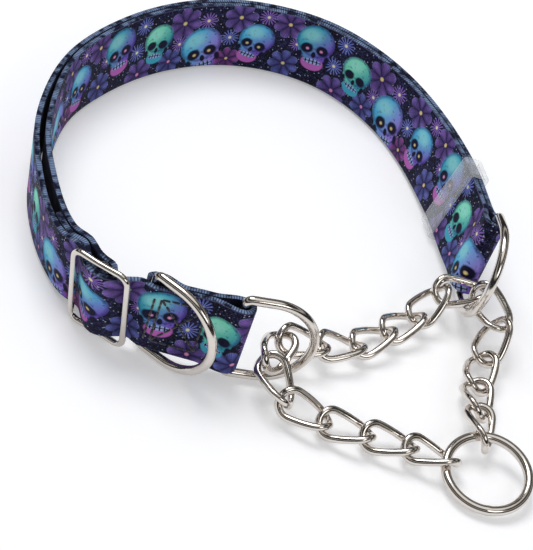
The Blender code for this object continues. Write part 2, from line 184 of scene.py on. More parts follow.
def noise(tree, place, scale, detail=2.0):
    """One Noise texture's value."""
    node = tree.nodes.new("ShaderNodeTexNoise")
    put(node.inputs["Vector"], place)
    node.inputs["Scale"].default_value = scale
    node.inputs["Detail"].default_value = detail
    return node.outputs["Fac"]


def bump(tree, shader, height, strength, distance):
    """Raise the surface by a height field."""
    node = tree.nodes.new("ShaderNodeBump")
    node.inputs["Strength"].default_value = strength
    node.inputs["Distance"].default_value = distance
    put(node.inputs["Height"], height)
    put(shader.inputs["Normal"], node.outputs[0])


def new_finish(name, colour, roughness, metallic=0.0):
    """A material with its Principled shader."""
    finish = bpy.data.materials.new(name)
    finish.use_nodes = True
    shader = finish.node_tree.nodes["Principled BSDF"]
    shader.inputs["Base Color"].default_value = (*colour, 1.0)
    shader.inputs["Roughness"].default_value = roughness
    shader.inputs["Metallic"].default_value = metallic
    return finish, finish.node_tree, shader


# %% [markdown]
# ## Where the webbing runs
# The collar is one long strip of webbing. It is sewn round the slide's middle
# bar, runs round the neck, turns back at the right ring, comes home outside the
# first layer, dips through the slide, and folds round the left ring to end at
# the tag ring. Its middle line is a smooth curve through the points of ROUTE:
# x, y and height of the lower edge in millimetres, then the outward lean in degrees.

# %% The middle line of the collar
STRAP_WIDTH = 25.0 * MM
STRAP_THICK = 1.8 * MM
LAYER_GAP = 0.3 * MM
LAYER = STRAP_THICK + LAYER_GAP
RING_WIRE = 1.45 * MM
SLIDE_WIRE = 1.0 * MM
FOLD = RING_WIRE + LAYER_GAP + STRAP_THICK / 2
SLIDE_FOLD = SLIDE_WIRE + LAYER_GAP + STRAP_THICK / 2
SLIDE_LONG = 18.8 * MM
SLIDE_BAR_OUT = -0.6 * MM
TAG_AT = 26.0 * MM
SLIDE_AT = 38.5 * MM
TAIL_END = 63.0 * MM
SLIDE_DIP = -0.6 * MM
FINE_STEP = 1.7 * MM
LONG_STEP = 3.0 * MM
RING_EASE = 12.0 * MM
BAR_EASE = 9.0 * MM
BAR_NEAR = 1.0 * MM

ROUTE = (
    (-2.6, -48.4, 3.7, 0.0),
    (-15.0, -49.8, 3.7, 0.0),
    (-28.0, -50.9, 3.7, 4.0),
    (-40.0, -49.6, 3.3, 8.5),
    (-50.7, -43.0, 2.0, 10.0),
    (-61.0, -31.8, 0.8, 9.0),
    (-69.4, -18.0, 0.2, 6.5),
    (-75.8, -2.0, 0.2, 6.0),
    (-79.0, 18.0, 0.2, 6.0),
    (-77.8, 39.3, 0.2, 6.0),
    (-71.9, 56.2, 0.2, 6.0),
    (-62.5, 73.0, 0.2, 5.0),
    (-52.3, 85.0, 0.2, 4.0),
    (-39.5, 95.0, 0.2, 2.0),
    (-23.3, 101.3, 0.2, 0.0),
    (-8.0, 102.0, 0.2, 0.0),
    (6.0, 97.6, 0.2, 1.0),
    (19.4, 88.4, 0.2, 4.0),
    (31.7, 73.9, 0.4, 9.0),
    (40.4, 59.3, 1.0, 13.0),
    (46.0, 48.0, 1.8, 14.0),
    (51.0, 36.6, 2.2, 14.0),
    (55.4, 27.4, 3.0, 13.0),
    (58.8, 20.2, 4.8, 12.0),
)


def spline(points, count):
    """Natural cubic curve through rows of numbers, sampled by length."""
    pts = np.array(points, float)
    steps = np.linalg.norm(np.diff(pts[:, :3], axis=0), axis=1)
    knots = np.concatenate(([0.0], np.cumsum(steps)))
    n = len(pts)
    system = np.zeros((n, n))
    right = np.zeros((n, pts.shape[1]))
    system[0, 0] = 1.0
    system[-1, -1] = 1.0
    for i in range(1, n - 1):
        system[i, i - 1] = steps[i - 1]
        system[i, i] = 2.0 * (steps[i - 1] + steps[i])
        system[i, i + 1] = steps[i]
        turn = (pts[i + 1] - pts[i]) / steps[i] - (pts[i] - pts[i - 1]) / steps[i - 1]
        right[i] = 6.0 * turn
    bend = np.linalg.solve(system, right)
    rows = []
    for t in np.linspace(0.0, knots[-1], count):
        i = min(int(np.searchsorted(knots, t, side="right")) - 1, n - 2)
        h = steps[i]
        a = (knots[i + 1] - t) / h
        b = (t - knots[i]) / h
        curve = ((a ** 3 - a) * bend[i] + (b ** 3 - b) * bend[i + 1]) * h * h / 6.0
        rows.append(a * pts[i] + b * pts[i + 1] + curve)
    return np.array(rows)


class Collar:
    """The collar's middle surface: length along it, height out of it, width up it."""

    def __init__(self):
        fine = spline(ROUTE, 1200)
        self.base = fine[:, :3] * MM
        self.lean = np.radians(fine[:, 3])
        step = np.linalg.norm(np.diff(self.base, axis=0), axis=1)
        self.at = np.concatenate(([0.0], np.cumsum(step)))
        self.length = float(self.at[-1])
        self.offset = Vector((0.0, 0.0, 0.0))

    def row(self, s):
        return Vector([float(np.interp(s, self.at, self.base[:, k])) for k in range(3)])

    def frame(self, s):
        """Origin on the lower edge, then along, outward and up directions."""
        inside = min(max(s, 0.0), self.length)
        reach = 1.5 * MM
        before = self.row(max(inside - reach, 0.0))
        after = self.row(min(inside + reach, self.length))
        along = (after - before).normalized()
        origin = self.row(inside) + along * (s - inside)
        up = Vector((0.0, 0.0, 1.0))
        up = (up - along * up.dot(along)).normalized()
        out = up.cross(along).normalized()
        lean = float(np.interp(inside, self.at, self.lean))
        up_leant = up * math.cos(lean) + out * math.sin(lean)
        out_leant = out * math.cos(lean) - up * math.sin(lean)
        return origin + self.offset, along, out_leant, up_leant

    def point(self, s, out, up):
        """A spot on the collar, with up measured from the webbing's middle."""
        origin, _, out_dir, up_dir = self.frame(s)
        return origin + out_dir * out + up_dir * (up + STRAP_WIDTH / 2)


collar = Collar()
left_bar = Vector(joint("left_ring_swing")["pos_m"])
collar.offset = left_bar - collar.point(0.0, 0.0, 0.0)
print("one layer is", round(collar.length / MM, 1), "mm long")


# %% The path of the strip, layer by layer
def arc(centre_s, centre_h, radius, start_deg, end_deg, steps):
    """Points on an arc in the plane of length and height."""
    angles = np.radians(np.linspace(start_deg, end_deg, steps + 1))
    return [(centre_s + radius * math.cos(a), centre_h + radius * math.sin(a)) for a in angles]


def ease(stops, step):
    """Points that run smoothly through (length, height) stops."""
    out = []
    for (s0, h0), (s1, h1) in zip(stops[:-1], stops[1:]):
        parts = max(2, int(round(abs(s1 - s0) / step)))
        if h0 == h1:
            parts = max(1, int(round(abs(s1 - s0) / (4.0 * MM))))
        for i in range(parts):
            t = i / parts
            out.append((s0 + (s1 - s0) * t, h0 + (h1 - h0) * t * t * (3.0 - 2.0 * t)))
    out.append(stops[-1])
    return out


def strip_path():
    """(length, height) points from the sewn end at the slide to the tucked end."""
    end = collar.length
    inner = -LAYER / 2
    outer = LAYER / 2
    side = SLIDE_LONG / 2
    under = SLIDE_DIP
    tag_bar = outer - FOLD
    path = ease([
        (TAIL_END, inner),
        (SLIDE_AT + side + 5.0 * MM, inner),
        (SLIDE_AT + side, under - LAYER),
        (SLIDE_AT + BAR_NEAR, SLIDE_BAR_OUT + SLIDE_FOLD),
    ], FINE_STEP)
    path += arc(SLIDE_AT, SLIDE_BAR_OUT, SLIDE_FOLD, 90.0, 270.0, 8)
    path += ease([
        (SLIDE_AT + BAR_NEAR, SLIDE_BAR_OUT - SLIDE_FOLD),
        (SLIDE_AT + side, under - 2.0 * LAYER),
        (SLIDE_AT + side + 8.0 * MM, inner - LAYER),
        (TAIL_END + 4.0 * MM, inner - LAYER),
        (TAIL_END + 40.0 * MM, inner - 0.6 * LAYER),
        (TAIL_END + 82.0 * MM, inner),
        (end - RING_EASE, inner),
        (end - BAR_NEAR, -FOLD),
    ], LONG_STEP)
    path += arc(end, 0.0, FOLD, -90.0, 90.0, 10)
    path += ease([
        (end - BAR_NEAR, FOLD),
        (end - RING_EASE, outer),
        (SLIDE_AT + side + BAR_EASE, outer),
        (SLIDE_AT + side, under),
        (SLIDE_AT, SLIDE_BAR_OUT + SLIDE_FOLD + LAYER),
        (SLIDE_AT - side, under),
        (TAG_AT, outer),
        (BAR_EASE, outer),
        (BAR_NEAR, FOLD),
    ], FINE_STEP)
    path += arc(0.0, 0.0, FOLD, 90.0, 270.0, 10)
    path += ease([
        (BAR_NEAR, -FOLD),
        (BAR_EASE, inner),
        (TAG_AT - BAR_EASE, inner),
        (TAG_AT - BAR_NEAR, tag_bar - FOLD),
    ], FINE_STEP)
    path += arc(TAG_AT, tag_bar, FOLD, -90.0, -30.0, 4)
    return path


strip = np.array(strip_path())
strip_steps = np.linalg.norm(np.diff(strip, axis=0), axis=1)
SHORTEST_STEP = 0.25 * MM
keep_rows = np.concatenate(([True], strip_steps > SHORTEST_STEP))
strip = strip[keep_rows]
strip_steps = np.linalg.norm(np.diff(strip, axis=0), axis=1)
strip_at = np.concatenate(([0.0], np.cumsum(strip_steps)))
strip_length = float(strip_at[-1])
print("the strip of webbing is", round(strip_length / MM), "mm long")

# %% [markdown]
# ## Cutting and laying the webbing
# A flat grid stands for the strip as it comes off the roll, so its UV map is the
# print as it was printed. Each point is then carried to the same length along
# the path. Solidify gives the 1.8 mm of cloth: its second side is the bare back
# of the webbing, and its rim is the woven edge. A small bevel rounds the edge.

# %% The strip of webbing
STRIP_STEP = 1.0 * MM
STRIP_ROWS = 8
EDGE_ROUND = 0.4 * MM

columns = int(strip_length / STRIP_STEP)
bpy.ops.object.select_all(action="DESELECT")
bpy.ops.mesh.primitive_grid_add(x_subdivisions=columns, y_subdivisions=STRIP_ROWS, size=1.0)
webbing = bpy.context.object
bpy.ops.object.mode_set(mode="EDIT")
bpy.ops.mesh.select_all(action="SELECT")
bpy.ops.transform.resize(value=(strip_length, STRAP_WIDTH, 1.0), center_override=(0.0, 0.0, 0.0))
leave_edit()
for vert in webbing.data.vertices:
    reach = vert.co.x + strip_length / 2
    s = float(np.interp(reach, strip_at, strip[:, 0]))
    h = float(np.interp(reach, strip_at, strip[:, 1]))
    vert.co = collar.point(s, h, vert.co.y)
# Solidify gives its faces a slot only if that slot is there already.
for _ in ("print", "back", "edge"):
    webbing.data.materials.append(None)
apply_modifier(webbing, "SOLIDIFY", thickness=STRAP_THICK, offset=0.0, use_even_offset=True,
               material_offset=1, material_offset_rim=2)
print("webbing grid", columns, "x", STRIP_ROWS)

# %% [markdown]
# ## The print
# The print repeats along the strip: night-coloured ground, domed skulls that run
# from turquoise to violet, a smaller mint skull, seven-petalled flowers, aster
# bursts with pale centres, and fine dots. Each motif is a few round shapes in
# its own small coordinates, in millimetres, wrapped so that it repeats.

# %% Motifs as formulas
REPEAT = 76.0


def local(tree, place, u, v, size, turn):
    """A motif's own coordinates, in units of its size."""
    away = vectors(tree, "SUBTRACT", place, (u, v, 0.0))
    half = REPEAT / 2
    wrapped = vectors(tree, "WRAP", away, (half, 60.0, 1.0), (-half, -60.0, -1.0))
    turned = tree.nodes.new("ShaderNodeVectorRotate")
    turned.rotation_type = "Z_AXIS"
    put(turned.inputs["Vector"], wrapped)
    turned.inputs["Angle"].default_value = math.radians(turn)
    node = tree.nodes.new("ShaderNodeVectorMath")
    node.operation = "SCALE"
    put(node.inputs[0], turned.outputs[0])
    node.inputs["Scale"].default_value = 1.0 / size
    return node.outputs[0]


def oval(tree, place, x, y, a, b, soft=0.12):
    """One where a point is inside an oval, fading over its edge."""
    near = vectors(tree, "MULTIPLY_ADD", place, (1 / a, 1 / b, 0.0), (-x / a, -y / b, 0.0))
    far = vectors(tree, "LENGTH", near)
    return maths(tree, "MULTIPLY_ADD", far, -1.0 / soft, 0.5 + 1.0 / soft, clamp=True)


def part(tree, place, axis):
    """One coordinate of a place."""
    node = tree.nodes.new("ShaderNodeSeparateXYZ")
    put(node.inputs[0], place)
    return node.outputs[axis]


def skull(tree, colour, place, u, v, size, turn, dome, shade, jaw, glint):
    """A plain front-facing skull: dome, cheeks, jaw, sockets, nose and teeth."""
    at = local(tree, place, u, v, size, turn)
    head = oval(tree, at, 0.0, 2.4, 6.8, 6.2, 0.08)
    cheeks = oval(tree, at, 0.0, -1.6, 5.6, 4.0, 0.1)
    chin = oval(tree, at, 0.0, -6.2, 4.0, 3.0, 0.12)
    x = part(tree, at, 0)
    y = part(tree, at, 1)
    slope = maths(tree, "MULTIPLY_ADD", x, 0.10, 0.45)
    slope = maths(tree, "MULTIPLY_ADD", y, -0.075, slope, clamp=True)
    bone = blend(tree, slope, dome, shade)
    sketch = noise(tree, at, 0.7, 4.0)
    sketch = maths(tree, "MULTIPLY_ADD", sketch, 8.0, -4.4, clamp=True)
    bone = blend(tree, maths(tree, "MULTIPLY", sketch, 0.75), bone, (0.015, 0.03, 0.13))
    shine = oval(tree, at, -1.6, 4.6, 3.4, 2.4, 0.9)
    bone = blend(tree, maths(tree, "MULTIPLY", shine, 0.5), bone, (0.42, 0.90, 0.80))
    rim = maths(tree, "SUBTRACT", head, oval(tree, at, 0.0, 2.5, 6.0, 5.5, 0.2), clamp=True)
    bone = blend(tree, maths(tree, "MULTIPLY", rim, 0.7), bone, (0.02, 0.03, 0.20))
    colour = blend(tree, chin, colour, jaw)
    colour = blend(tree, cheeks, colour, bone)
    colour = blend(tree, head, colour, bone)
    dark = (0.006, 0.006, 0.03)
    for side in (-1, 1):
        colour = blend(tree, oval(tree, at, side * 2.75, -0.7, 2.2, 1.95, 0.3), colour, dark)
        colour = blend(tree, oval(tree, at, side * 2.5, -0.9, 0.55, 0.5, 0.8), colour, glint)
        colour = blend(tree, oval(tree, at, side * 4.9, -3.6, 0.9, 1.5, 0.5), colour, dark)
    colour = blend(tree, oval(tree, at, 0.0, -3.0, 0.8, 1.25, 0.4), colour, dark)
    teeth = maths(tree, "SINE", maths(tree, "MULTIPLY", x, 4.6))
    gaps = maths(tree, "GREATER_THAN", teeth, 0.55)
    row = oval(tree, at, 0.0, -5.6, 3.3, 1.05, 0.2)
    bite = maths(tree, "LESS_THAN", maths(tree, "ABSOLUTE", maths(tree, "ADD", y, 5.55)), 0.16)
    colour = blend(tree, row, colour, (0.35, 0.45, 0.75))
    lines = maths(tree, "MULTIPLY", maths(tree, "MAXIMUM", gaps, bite), row)
    return blend(tree, lines, colour, dark)


def polar(tree, at):
    """Distance from a motif's middle and the angle round it."""
    return vectors(tree, "LENGTH", at), maths(tree, "ARCTAN2", part(tree, at, 1), part(tree, at, 0))


def flower(tree, colour, place, u, v, size, turn, petal, throat):
    """Seven round petals with darker veins and a pale throat."""
    at = local(tree, place, u, v, size, turn)
    far, angle = polar(tree, at)
    wave = maths(tree, "ABSOLUTE", maths(tree, "COSINE", maths(tree, "MULTIPLY", angle, 3.5)))
    reach = maths(tree, "MULTIPLY_ADD", maths(tree, "POWER", wave, 0.5), 0.42, 0.58)
    inside = maths(tree, "MULTIPLY", maths(tree, "SUBTRACT", reach, far), 16.0, clamp=True)
    wash = maths(tree, "MULTIPLY_ADD", noise(tree, at, 2.4, 3.0), 1.6, -0.1)
    tone = maths(tree, "MULTIPLY", maths(tree, "MULTIPLY", far, wave), wash, clamp=True)
    leaf = blend(tree, tone, (0.02, 0.012, 0.07), petal)
    vein = maths(tree, "ABSOLUTE", maths(tree, "SINE", maths(tree, "MULTIPLY", angle, 24.5)))
    vein = maths(tree, "LESS_THAN", vein, 0.25)
    leaf = blend(tree, maths(tree, "MULTIPLY", vein, 0.7), leaf, (0.012, 0.010, 0.05))
    rim = maths(tree, "LESS_THAN", maths(tree, "SUBTRACT", reach, far), 0.05)
    leaf = blend(tree, maths(tree, "MULTIPLY", rim, 0.6), leaf, (0.30, 0.32, 0.70))
    colour = blend(tree, inside, colour, leaf)
    return blend(tree, oval(tree, at, 0.0, 0.0, 0.11, 0.11, 0.5), colour, throat)


def burst(tree, colour, place, u, v, size, turn, ray):
    """An aster: thin rays round a pale-yellow middle."""
    at = local(tree, place, u, v, size, turn)
    far, angle = polar(tree, at)
    wave = maths(tree, "COSINE", maths(tree, "MULTIPLY", angle, 15.0))
    long_ray = maths(tree, "COSINE", maths(tree, "MULTIPLY", angle, 7.5))
    reach = maths(tree, "MULTIPLY_ADD", maths(tree, "ABSOLUTE", long_ray), 0.45, 0.5)
    body = maths(tree, "LESS_THAN", far, reach)
    thin = maths(tree, "GREATER_THAN", wave, maths(tree, "MULTIPLY_ADD", far, 1.3, -0.75))
    tone = maths(tree, "SUBTRACT", 1.0, maths(tree, "MULTIPLY", far, 0.55), clamp=True)
    inside = maths(tree, "MULTIPLY", maths(tree, "MULTIPLY", body, thin), tone)
    colour = blend(tree, inside, colour, ray)
    return blend(tree, oval(tree, at, 0.0, 0.0, 0.16, 0.16, 0.5), colour, (0.85, 0.80, 0.45))


# %% The colours of the print
NIGHT = (0.003, 0.003, 0.009)
DUSK = (0.013, 0.009, 0.042)
TURQUOISE = (0.060, 0.42, 0.56)
SKY = (0.10, 0.50, 0.78)
VIOLET = (0.20, 0.11, 0.56)
LILAC = (0.34, 0.22, 0.74)
MINT = (0.20, 0.78, 0.52)
SEA = (0.05, 0.34, 0.42)
PINK = (0.52, 0.14, 0.50)
ROSE = (0.80, 0.30, 0.55)
LEMON = (0.80, 0.62, 0.25)
ASTER = (0.22, 0.27, 0.80)
HEATHER = (0.36, 0.20, 0.70)
BACK_TONES = ((0.008, 0.008, 0.02), (0.04, 0.045, 0.10))
EDGE_TONES = ((0.006, 0.008, 0.026), (0.22, 0.31, 0.50))
BACK_SCALE = 300.0
EDGE_SCALE = 330.0
WARP_PITCH = 0.62
WEFT_PITCH = 0.80

SKULLS = (
    (7.0, 15.2, 1.02, -6.0, TURQUOISE, VIOLET, PINK, ROSE),
    (24.5, 12.6, 0.86, 5.0, MINT, SEA, TURQUOISE, NIGHT),
    (43.4, 6.6, 1.10, -18.0, SKY, LILAC, VIOLET, LEMON),
    (62.0, 10.6, 0.92, 14.0, SKY, VIOLET, PINK, LEMON),
)
FLOWERS = (
    (34.4, 18.6, 6.6, 10.0, HEATHER, LEMON),
    (55.0, 20.4, 6.2, 40.0, LILAC, LEMON),
    (72.4, 21.0, 6.0, 0.0, HEATHER, LEMON),
    (17.6, 2.2, 6.0, 25.0, LILAC, ROSE),
    (53.6, 3.2, 4.8, 5.0, PINK, LEMON),
    (74.0, 5.0, 5.6, 15.0, ASTER, LEMON),
    (30.8, 4.0, 5.2, 0.0, ASTER, ROSE),
)
BURSTS = (
    (15.6, 11.6, 3.6, 0.0, ASTER),
    (34.0, 10.4, 3.2, 8.0, HEATHER),
    (52.8, 12.0, 3.4, 3.0, ASTER),
    (43.4, 18.8, 3.6, 6.0, HEATHER),
    (17.4, 21.4, 3.6, 2.0, ASTER),
    (64.4, 22.0, 3.4, 4.0, HEATHER),
    (0.6, 14.0, 2.8, 5.0, HEATHER),
)


def printed_webbing():
    """Dye-printed polyester webbing, its print in millimetres along the strip's UV map."""
    finish, tree, shader = new_finish("printed_webbing", NIGHT, 0.62)
    shader.inputs["Specular IOR Level"].default_value = 0.10
    shader.inputs["Sheen Weight"].default_value = 0.02
    shader.inputs["Sheen Roughness"].default_value = 0.5
    uv = tree.nodes.new("ShaderNodeUVMap")
    uv.uv_map = webbing.data.uv_layers[0].name
    size = (strip_length / MM, STRAP_WIDTH / MM, 1.0)
    place = vectors(tree, "MULTIPLY", uv.outputs[0], size)

    haze = noise(tree, place, 0.09, 4.0)
    haze = maths(tree, "MULTIPLY_ADD", haze, 2.6, -1.0, clamp=True)
    colour = blend(tree, haze, NIGHT, DUSK)
    dots = tree.nodes.new("ShaderNodeTexVoronoi")
    dots.voronoi_dimensions = "2D"
    put(dots.inputs["Vector"], place)
    dots.inputs["Scale"].default_value = 0.42
    tiny = maths(tree, "LESS_THAN", dots.outputs["Distance"], 0.085)
    speck = blend(tree, part(tree, dots.outputs["Color"], 0), (0.75, 0.62, 0.72), (0.20, 0.45, 0.62))
    colour = blend(tree, maths(tree, "MULTIPLY", tiny, 0.8), colour, speck)
    sketch = noise(tree, place, 0.8, 2.0)
    stroke = maths(tree, "ABSOLUTE", maths(tree, "SUBTRACT", sketch, 0.5))
    stroke = maths(tree, "LESS_THAN", stroke, 0.012)
    colour = blend(tree, maths(tree, "MULTIPLY", stroke, 0.5), colour, (0.10, 0.12, 0.36))
    for motif in FLOWERS:
        colour = flower(tree, colour, place, *motif)
    for motif in BURSTS:
        colour = burst(tree, colour, place, *motif)
    for motif in SKULLS:
        colour = skull(tree, colour, place, *motif)

    v = part(tree, place, 1)
    from_edge = maths(tree, "ABSOLUTE", maths(tree, "SUBTRACT", v, STRAP_WIDTH / MM / 2))
    edge = maths(tree, "MULTIPLY_ADD", from_edge, 1.6, -11.9 * 1.6, clamp=True)
    mottle = noise(tree, place, 2.2, 3.0)
    woven = blend(tree, mottle, (0.03, 0.03, 0.08), (0.20, 0.22, 0.38))
    colour = blend(tree, maths(tree, "MULTIPLY", edge, 0.7), colour, woven)
    put(shader.inputs["Base Color"], colour)

    u = part(tree, place, 0)
    warp = maths(tree, "SINE", maths(tree, "MULTIPLY", v, 2 * math.pi / WARP_PITCH))
    weft = maths(tree, "SINE", maths(tree, "MULTIPLY_ADD", u, 2 * math.pi / WEFT_PITCH, warp))
    weave = maths(tree, "ADD", maths(tree, "MULTIPLY", warp, 0.5), weft)
    bump(tree, shader, weave, 0.35, 0.06 * MM)
    rough = maths(tree, "MULTIPLY_ADD", noise(tree, place, 0.6), 0.25, 0.5)
    put(shader.inputs["Roughness"], rough)
    return finish


def bare_webbing(name, dark, light, scale):
    """Unprinted side or woven edge of the webbing, in threads of two tones."""
    finish, tree, shader = new_finish(name, dark, 0.75)
    shader.inputs["Specular IOR Level"].default_value = 0.10
    shader.inputs["Sheen Weight"].default_value = 0.02
    uv = tree.nodes.new("ShaderNodeUVMap")
    uv.uv_map = webbing.data.uv_layers[0].name
    size = (strip_length / MM, STRAP_WIDTH / MM, 1.0)
    place = vectors(tree, "MULTIPLY", uv.outputs[0], size)
    spot = tree.nodes.new("ShaderNodeTexCoord").outputs["Object"]
    u = part(tree, place, 0)
    threads = maths(tree, "SINE", maths(tree, "MULTIPLY", u, 2 * math.pi / WEFT_PITCH))
    patch = maths(tree, "MULTIPLY_ADD", noise(tree, spot, scale, 5.0), 6.0, -2.5, clamp=True)
    tone = maths(tree, "MULTIPLY", patch, maths(tree, "MULTIPLY_ADD", threads, 0.4, 0.6))
    put(shader.inputs["Base Color"], blend(tree, tone, dark, light))
    bump(tree, shader, threads, 0.4, 0.08 * MM)
    return finish


webbing.data.materials[0] = printed_webbing()
webbing.data.materials[1] = bare_webbing("webbing_back", *BACK_TONES, BACK_SCALE)
webbing.data.materials[2] = bare_webbing("webbing_edge", *EDGE_TONES, EDGE_SCALE)
print("print nodes:", len(webbing.data.materials[0].node_tree.nodes))

# %% Round the woven edge and hand the webbing over
apply_modifier(webbing, "BEVEL", width=EDGE_ROUND, segments=2, limit_method="ANGLE",
               angle_limit=math.radians(60.0), use_clamp_overlap=True)
only(webbing)
bpy.ops.object.shade_smooth_by_angle(angle=math.radians(60.0))
finish_piece(webbing, "printed_strap", "strap", "webbing", None, "main_strap")

# %% [markdown]
# ## Metal and plastic
# The wire is welded steel under polished nickel plate: warm, bright, with faint
# drawing marks and a slightly uneven polish. The keeper is soft clear plastic with
# a faint milky haze, which shows the print through it; where its wall is seen
# edge-on it is made whiter and more opaque as a painted reflection.

# %% Nickel plate and clear plastic
NICKEL = (0.68, 0.635, 0.59)
NICKEL_DULL = (0.60, 0.555, 0.51)
NICKEL_BRIGHT = (0.76, 0.71, 0.66)


def nickel_plate():
    finish, tree, shader = new_finish("nickel_plate", NICKEL, 0.13, 1.0)
    spot = tree.nodes.new("ShaderNodeTexCoord").outputs["Object"]
    cloud = noise(tree, spot, 260.0, 4.0)
    fine = noise(tree, spot, 1500.0, 3.0)
    rough = maths(tree, "MULTIPLY_ADD", cloud, 0.14, 0.06)
    put(shader.inputs["Roughness"], rough)
    tone = blend(tree, cloud, NICKEL_DULL, NICKEL_BRIGHT)
    put(shader.inputs["Base Color"], tone)
    uneven = maths(tree, "MULTIPLY_ADD", fine, 0.25, cloud)
    bump(tree, shader, uneven, 0.25, 0.12 * MM)
    return finish


def clear_plastic():
    finish, tree, shader = new_finish("clear_plastic", (0.88, 0.90, 0.93), 0.12)
    shader.inputs["IOR"].default_value = 1.49
    spot = tree.nodes.new("ShaderNodeTexCoord").outputs["Object"]
    cloud = noise(tree, spot, 180.0, 3.0)
    # painted reflection: the Layer Weight's facing makes the wall whiter and more opaque where it is
    # seen edge-on
    rim = tree.nodes.new("ShaderNodeLayerWeight")
    rim.inputs["Blend"].default_value = 0.35
    painted_edge_reflection = maths(tree, "POWER", rim.outputs["Facing"], 1.5)
    milk = maths(tree, "MULTIPLY_ADD", cloud, 0.10, 0.06)
    put(shader.inputs["Alpha"], maths(tree, "MULTIPLY_ADD", painted_edge_reflection, 0.45, milk, clamp=True))
    put(shader.inputs["Roughness"], maths(tree, "MULTIPLY_ADD", cloud, 0.12, 0.06))
    bump(tree, shader, cloud, 0.15, 0.1 * MM)
    return finish


def sewing_thread():
    finish, tree, shader = new_finish("sewing_thread", (0.012, 0.012, 0.018), 0.6)
    shader.inputs["Sheen Weight"].default_value = 0.3
    spot = tree.nodes.new("ShaderNodeTexCoord").outputs["Object"]
    ply = tree.nodes.new("ShaderNodeTexWave")
    put(ply.inputs["Vector"], spot)
    ply.bands_direction = "DIAGONAL"
    ply.inputs["Scale"].default_value = 900.0
    tone = blend(tree, ply.outputs["Fac"], (0.006, 0.006, 0.012), (0.04, 0.04, 0.06))
    put(shader.inputs["Base Color"], tone)
    bump(tree, shader, ply.outputs["Fac"], 0.5, 0.08 * MM)
    return finish


nickel = nickel_plate()
plastic = clear_plastic()
thread = sewing_thread()
print("finishes:", [m.name for m in (nickel, plastic, thread)])

# %% [markdown]
# ## Bending wire
# Every ring here starts as wire cut to length. An outline of edges is drawn in
# edit mode with circle, extrude and bevel, turned into a curve, and given its
# thickness as the curve's bevel, which keeps the wire round through each bend.

# %% Outline to wire
WIRE_ROUND = 4


def outline_to_wire(outline, radius):
    """Give a closed outline of edges a round wire."""
    only(outline)
    bpy.ops.object.convert(target="CURVE")
    wire = bpy.context.object
    wire.data.dimensions = "3D"
    wire.data.bevel_depth = radius
    wire.data.bevel_resolution = WIRE_ROUND
    bpy.ops.object.convert(target="MESH")
    wire = bpy.context.object
    bpy.ops.object.mode_set(mode="EDIT")
    bpy.ops.mesh.select_all(action="SELECT")
    bpy.ops.mesh.remove_doubles(threshold=TINY)
    bpy.ops.mesh.normals_make_consistent(inside=False)
    leave_edit()
    bpy.ops.object.shade_smooth()
    return wire


def half_circle(radius, middle_x, segments):
    """The right half of a circle, as edges whose two ends are left open."""
    bpy.ops.object.select_all(action="DESELECT")
    bpy.ops.mesh.primitive_circle_add(vertices=segments, radius=radius, location=(0.0, 0.0, 0.0))
    piece = bpy.context.object
    pick(piece, lambda co: co.x < -TINY)
    bpy.ops.mesh.delete(type="VERT")
    bpy.ops.mesh.select_all(action="SELECT")
    bpy.ops.transform.translate(value=(middle_x, 0.0, 0.0))
    leave_edit()
    return piece


def extrude_by(step):
    bpy.ops.mesh.extrude_region_move(TRANSFORM_OT_translate={"value": step})


# %% [markdown]
# ## D rings
# A D ring is a half circle with two short arms and a straight bar. The half
# circle is drawn first, its ends are extruded back to the bar, an edge closes
# the D, and its two corners are bevelled to the bending radius.

# %% The three D rings
RING_BAR = 29.4 * MM
RING_DEPTH = 23.4 * MM
RING_CORNER = 1.8 * MM


def d_ring(name, node, body, hinge):
    radius = RING_BAR / 2
    arm = RING_DEPTH - radius
    ring = half_circle(radius, arm, 64)
    pick(ring, lambda co: abs(co.x - arm) < TINY)
    extrude_by((-arm, 0.0, 0.0))
    bpy.ops.mesh.edge_face_add()
    bpy.ops.mesh.bevel(offset=RING_CORNER, segments=6, affect="VERTICES")
    leave_edit()
    ring = outline_to_wire(ring, RING_WIRE)
    bar = Vector(hinge["pos_m"])
    up = Vector(hinge["axis"])
    bow = Vector(spots_of(node).mean(axis=0)) - bar
    bow = bow - up * bow.dot(up)
    lay(ring, placed(bow, up, bar))
    return finish_piece(ring, name, body, "nickel", nickel, node)


d_ring("left_d_ring", "left_end_ring", "left_ring_body", joint("left_ring_swing"))
d_ring("right_d_ring", "right_end_ring", "right_ring_body", joint("right_ring_swing"))
d_ring("tag_d_ring", "tag_ring", "tag_ring_body", joint("tag_ring_swing"))

# %% [markdown]
# ## The leash ring
# One round welded ring. A torus is already the right solid, so what makes it
# real is the weld: a short stretch where the two ends of the wire were joined
# stands a hair proud.

# %% Leash ring with its weld
LEASH_RADIUS = 12.5 * MM
LEASH_WIRE = 1.5 * MM
WELD_SWELL = 0.10 * MM

leash_spots = spots_of("leash_ring")
leash_middle = leash_spots.mean(axis=0)
leash_normal = np.linalg.svd(leash_spots - leash_middle, full_matrices=False)[2][2]
weld_side = np.cross(leash_normal, (0.2, -0.9, 0.1))
bpy.ops.object.select_all(action="DESELECT")
bpy.ops.mesh.primitive_torus_add(major_segments=96, minor_segments=20,
                                 major_radius=LEASH_RADIUS, minor_radius=LEASH_WIRE)
leash = bpy.context.object
for window, swell in ((0.9, 0.35), (0.45, 0.65)):
    pick(leash, lambda co: co.x > 0.0 and abs(co.y) < window * MM)
    bpy.ops.transform.shrink_fatten(value=WELD_SWELL * swell)
    leave_edit()
bpy.ops.object.shade_smooth()
lay(leash, placed(np.cross(weld_side, leash_normal), weld_side, leash_middle))
finish_piece(leash, "leash_o_ring", "leash_ring_body", "nickel", nickel, "leash_ring")

# %% [markdown]
# ## The chain
# Curb chain is made by twisting each link of plain chain until it lies flat.
# The link is built the same way: half an outline is drawn and turned about to
# make the other half, the outline gets its wire, and a Simple Deform twists it
# about its length. The finished link is copied to every place in the chain.

